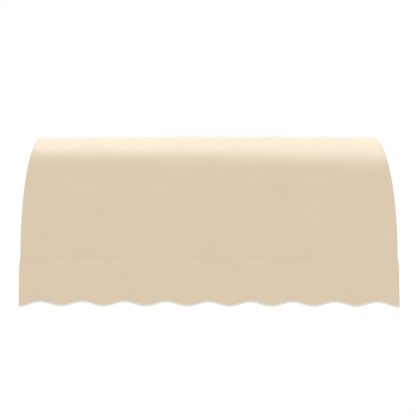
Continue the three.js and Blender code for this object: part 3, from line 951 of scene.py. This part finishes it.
# %% Turn a screw
SCREW_RADIUS = 0.004
SCREW_TOP = SCREW_RADIUS * 0.86
SCREW_HEIGHT = 0.0024
SCREW_SIDES = 18
RIM_ROUND = 0.0007
SOCKET_IN = 0.0011  # from the rim of the flat top to the socket
SOCKET_DEPTH = 0.0014


def height_of(face):
    return face.calc_center_median().z


def turn_screw(bm, place, out):
    """One button screw that stands on a tube. It is made at the origin and then set in its place."""
    made = bmesh.ops.create_cone(bm, cap_ends=True, segments=SCREW_SIDES, radius1=SCREW_RADIUS,
                                 radius2=SCREW_TOP, depth=SCREW_HEIGHT)
    top = max((face for vert in made["verts"] for face in vert.link_faces), key=height_of)
    bmesh.ops.bevel(bm, geom=top.edges[:], offset=RIM_ROUND, offset_type="OFFSET", affect="EDGES",
                    segments=3, profile=0.5, material=-1)
    near = [face for face in bm.faces if face.calc_center_median().length < 2 * SCREW_RADIUS]
    top = max(near, key=height_of)
    bmesh.ops.inset_region(bm, faces=[top], thickness=SOCKET_IN, use_even_offset=True)
    sunk = bmesh.ops.extrude_discrete_faces(bm, faces=[top])["faces"]
    bmesh.ops.translate(bm, verts=sunk[0].verts[:], vec=(0, 0, -SOCKET_DEPTH))
    verts = [vert for vert in bm.verts if vert.co.length < 3 * SCREW_RADIUS]
    turn = out.to_track_quat("Z", "Y").to_matrix().to_4x4()
    bmesh.ops.transform(bm, matrix=Matrix.Translation(place) @ turn, verts=verts)


print("a screw is", SCREW_RADIUS * 2000, "mm wide")

# %% Find the places of the screws
SCREW_IN = 0.011  # from the end of a tube to the middle of the screw

screw_places = []
for side, way in SIDES.items():
    for node, axis in (("side_arm", 1), ("wall_post", 2)):
        low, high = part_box(f"{node}_{side}")
        centre = (low + high) / 2
        for end in (low[axis] + SCREW_IN, high[axis] - SCREW_IN):
            place = centre.copy()
            place[axis] = end
            screw_places.append((place, Vector((-way, 0, 0))))
for x in RAFTERS.values():
    screw_places.append((Vector((x, rafter_high.y - SCREW_IN, HEAD.z)), Vector((0, 0, -1))))
    screw_places.append((Vector((x, FOOT_Y, rafter_low.z + SCREW_IN)), Vector((0, 1, 0))))
print("screws:", len(screw_places))

# %% Set the screws
SCREW_OFF = TUBE_RADIUS + SCREW_HEIGHT * 0.35  # from the middle of a tube to the middle of a screw
SAME_CORNER = 0.000001

bm = bmesh.new()
for place, out in screw_places:
    turn_screw(bm, place + out * SCREW_OFF, out)
bmesh.ops.remove_doubles(bm, verts=bm.verts, dist=SAME_CORNER)
zinc_finish = Finish("zinc_screw", Metallic=1.0)
plating = zinc_finish.noise(zinc_finish.place(), 350.0, 3.0)
zinc = zinc_finish.give(
    Base_Color=zinc_finish.ramp(plating, (0.55, 0.54, 0.50), (0.72, 0.71, 0.68)),
    Roughness=zinc_finish.spread(plating, 0.25, 0.45))
screws = show("locking_screws", bm, zinc)
crisp = screws.modifiers.new("Crisp edges", "EDGE_SPLIT")
crisp.split_angle = math.radians(40)

# %% [markdown]
# ## What the sheets were cut from
# Each sleeve keeps the flat size that it was cut with. Cloth that was stretched by mistake no longer has
# the area that it was cut with; here the sizes are only walked through, and nothing is done with them.

for bar, (sleeve, size) in sleeves.items():
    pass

# %% [markdown]
# ## Floor and studio light
# The awning hangs high, so the floor is well below it. Soft white light from all round shows each
# colour as it is written. A long box of light right above the head gives the crown of the cover the bright
# band that light from the sky has. Its grid keeps it off the front. Floor and sky look white to a ray that
# sees them, and give only the light that they should.

# %% Keep the ground white


def join_maths(tree, operation, first, second):
    node = tree.nodes.new("ShaderNodeMath")
    node.operation = operation
    tree.links.new(first, node.inputs[0])
    tree.links.new(second, node.inputs[1])
    return node.outputs[0]


def white_when_seen(tree, kind, lit, where=None):
    """Shows pure white to rays that see it, and leaves the light it gives as it is."""
    path = tree.nodes.new("ShaderNodeLightPath")
    seen = path.outputs["Is Camera Ray"]
    for ray in ("Is Glossy Ray", "Is Transmission Ray"):
        seen = join_maths(tree, "MAXIMUM", seen, path.outputs[ray])
    if where is not None:
        seen = join_maths(tree, "MULTIPLY", seen, where)
    white = tree.nodes.new(kind)
    white.inputs["Color"].default_value = (1, 1, 1, 1)
    white.inputs["Strength"].default_value = 1
    mix = tree.nodes.new("ShaderNodeMixShader")
    for socket, source in enumerate((seen, lit, white.outputs[0])):
        tree.links.new(source, mix.inputs[socket])
    return mix.outputs[0]


print("white ground ready")

# %% Lay the floor
FLOOR_Z = -4.8
FLOOR_HALF = 30
SHADOW_NEAR, SHADOW_FAR = 1.4, 2.6  # the shadow is whole this near to the middle, and gone that far off

floor_finish = Finish("pale_floor", Base_Color=(0.97, 0.97, 0.97, 1), Roughness=0.9)
across_floor = floor_finish.stretch(floor_finish.place(), (1, 1, 0))
away = floor_finish.add("ShaderNodeVectorMath", {0: across_floor}, operation="LENGTH").outputs["Value"]
far = floor_finish.spread(away, 0.0, 1.0, SHADOW_NEAR, SHADOW_FAR, interpolation_type="SMOOTHSTEP")
pale = white_when_seen(floor_finish.tree, "ShaderNodeEmission", floor_finish.shader.outputs[0], far)
floor_finish.tree.links.new(pale, floor_finish.tree.nodes["Material Output"].inputs["Surface"])

bm = bmesh.new()
bmesh.ops.create_grid(bm, x_segments=1, y_segments=1, size=FLOOR_HALF)
bmesh.ops.translate(bm, verts=bm.verts, vec=(0, 0, FLOOR_Z))
floor_mesh = bpy.data.meshes.new("floor")
bm.to_mesh(floor_mesh)
bm.free()
floor_mesh.materials.append(floor_finish.material)
floor = bpy.data.objects.new("floor", floor_mesh)
bpy.context.scene.collection.objects.link(floor)
floor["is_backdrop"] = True
print("floor at", FLOOR_Z, "m")

# %% Set the light
AMBIENT = 1.0
BOX_LENGTH, BOX_WIDTH = 2.48, 0.36
BOX_PLACE = (0, -0.21, 1.6)
BOX_TURN = -0.016  # so that the bright band comes out a little askew
BOX_SPREAD = math.radians(5)

scene = bpy.context.scene
scene.view_settings.view_transform = "Standard"
world = bpy.data.worlds.new("studio")
world.use_nodes = True
scene.world = world
soft = world.node_tree.nodes["Background"]
soft.inputs["Color"].default_value = (1, 1, 1, 1)
soft.inputs["Strength"].default_value = AMBIENT
sky = white_when_seen(world.node_tree, "ShaderNodeBackground", soft.outputs[0])
world.node_tree.links.new(sky, world.node_tree.nodes["World Output"].inputs["Surface"])

sky_box = bpy.data.lights.new("sky_box", "AREA")
sky_box.shape = "RECTANGLE"
sky_box.size, sky_box.size_y = BOX_LENGTH, BOX_WIDTH
sky_box.spread = BOX_SPREAD
sky_box.color = (0.71, 0.79, 1.0)
sky_box.energy = 1.83
overhead = bpy.data.objects.new("sky_box", sky_box)
overhead.location = BOX_PLACE
overhead.rotation_euler = (0, 0, BOX_TURN)
overhead.visible_camera = False
scene.collection.objects.link(overhead)
print("light box at", BOX_PLACE)

# %% [markdown]
# ## Camera
# The camera stands about 3.6 metres in front of the valance, a little left of the middle, and looks
# level. Place and lens were fitted to the outline of the awning, so the picture has the same perspective.

# %% Place the camera
FILM, LENS = 36, 48.46  # millimetres
SHIFT = 0.048  # the picture is framed a little to the right of where the lens points
CAMERA_PLACE = (-0.0889, -4.2028, -0.5067)
CAMERA_TURN = math.radians(0.66)

camera_data = bpy.data.cameras.new("camera")
camera_data.sensor_width = FILM
camera_data.lens = LENS
camera_data.shift_x = SHIFT
camera = bpy.data.objects.new("camera", camera_data)
camera.location = CAMERA_PLACE
camera.rotation_euler = (math.radians(90), 0, CAMERA_TURN)
scene.collection.objects.link(camera)
scene.camera = camera
print("camera at", CAMERA_PLACE)

# %% [markdown]
# ## Finish
# The box of the finished model is printed, because cloth may stand proud of the frame only a little.

# %% Print the size of the finished model
low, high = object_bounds()
print("visual size", [round(side, 4) for side in high - low])
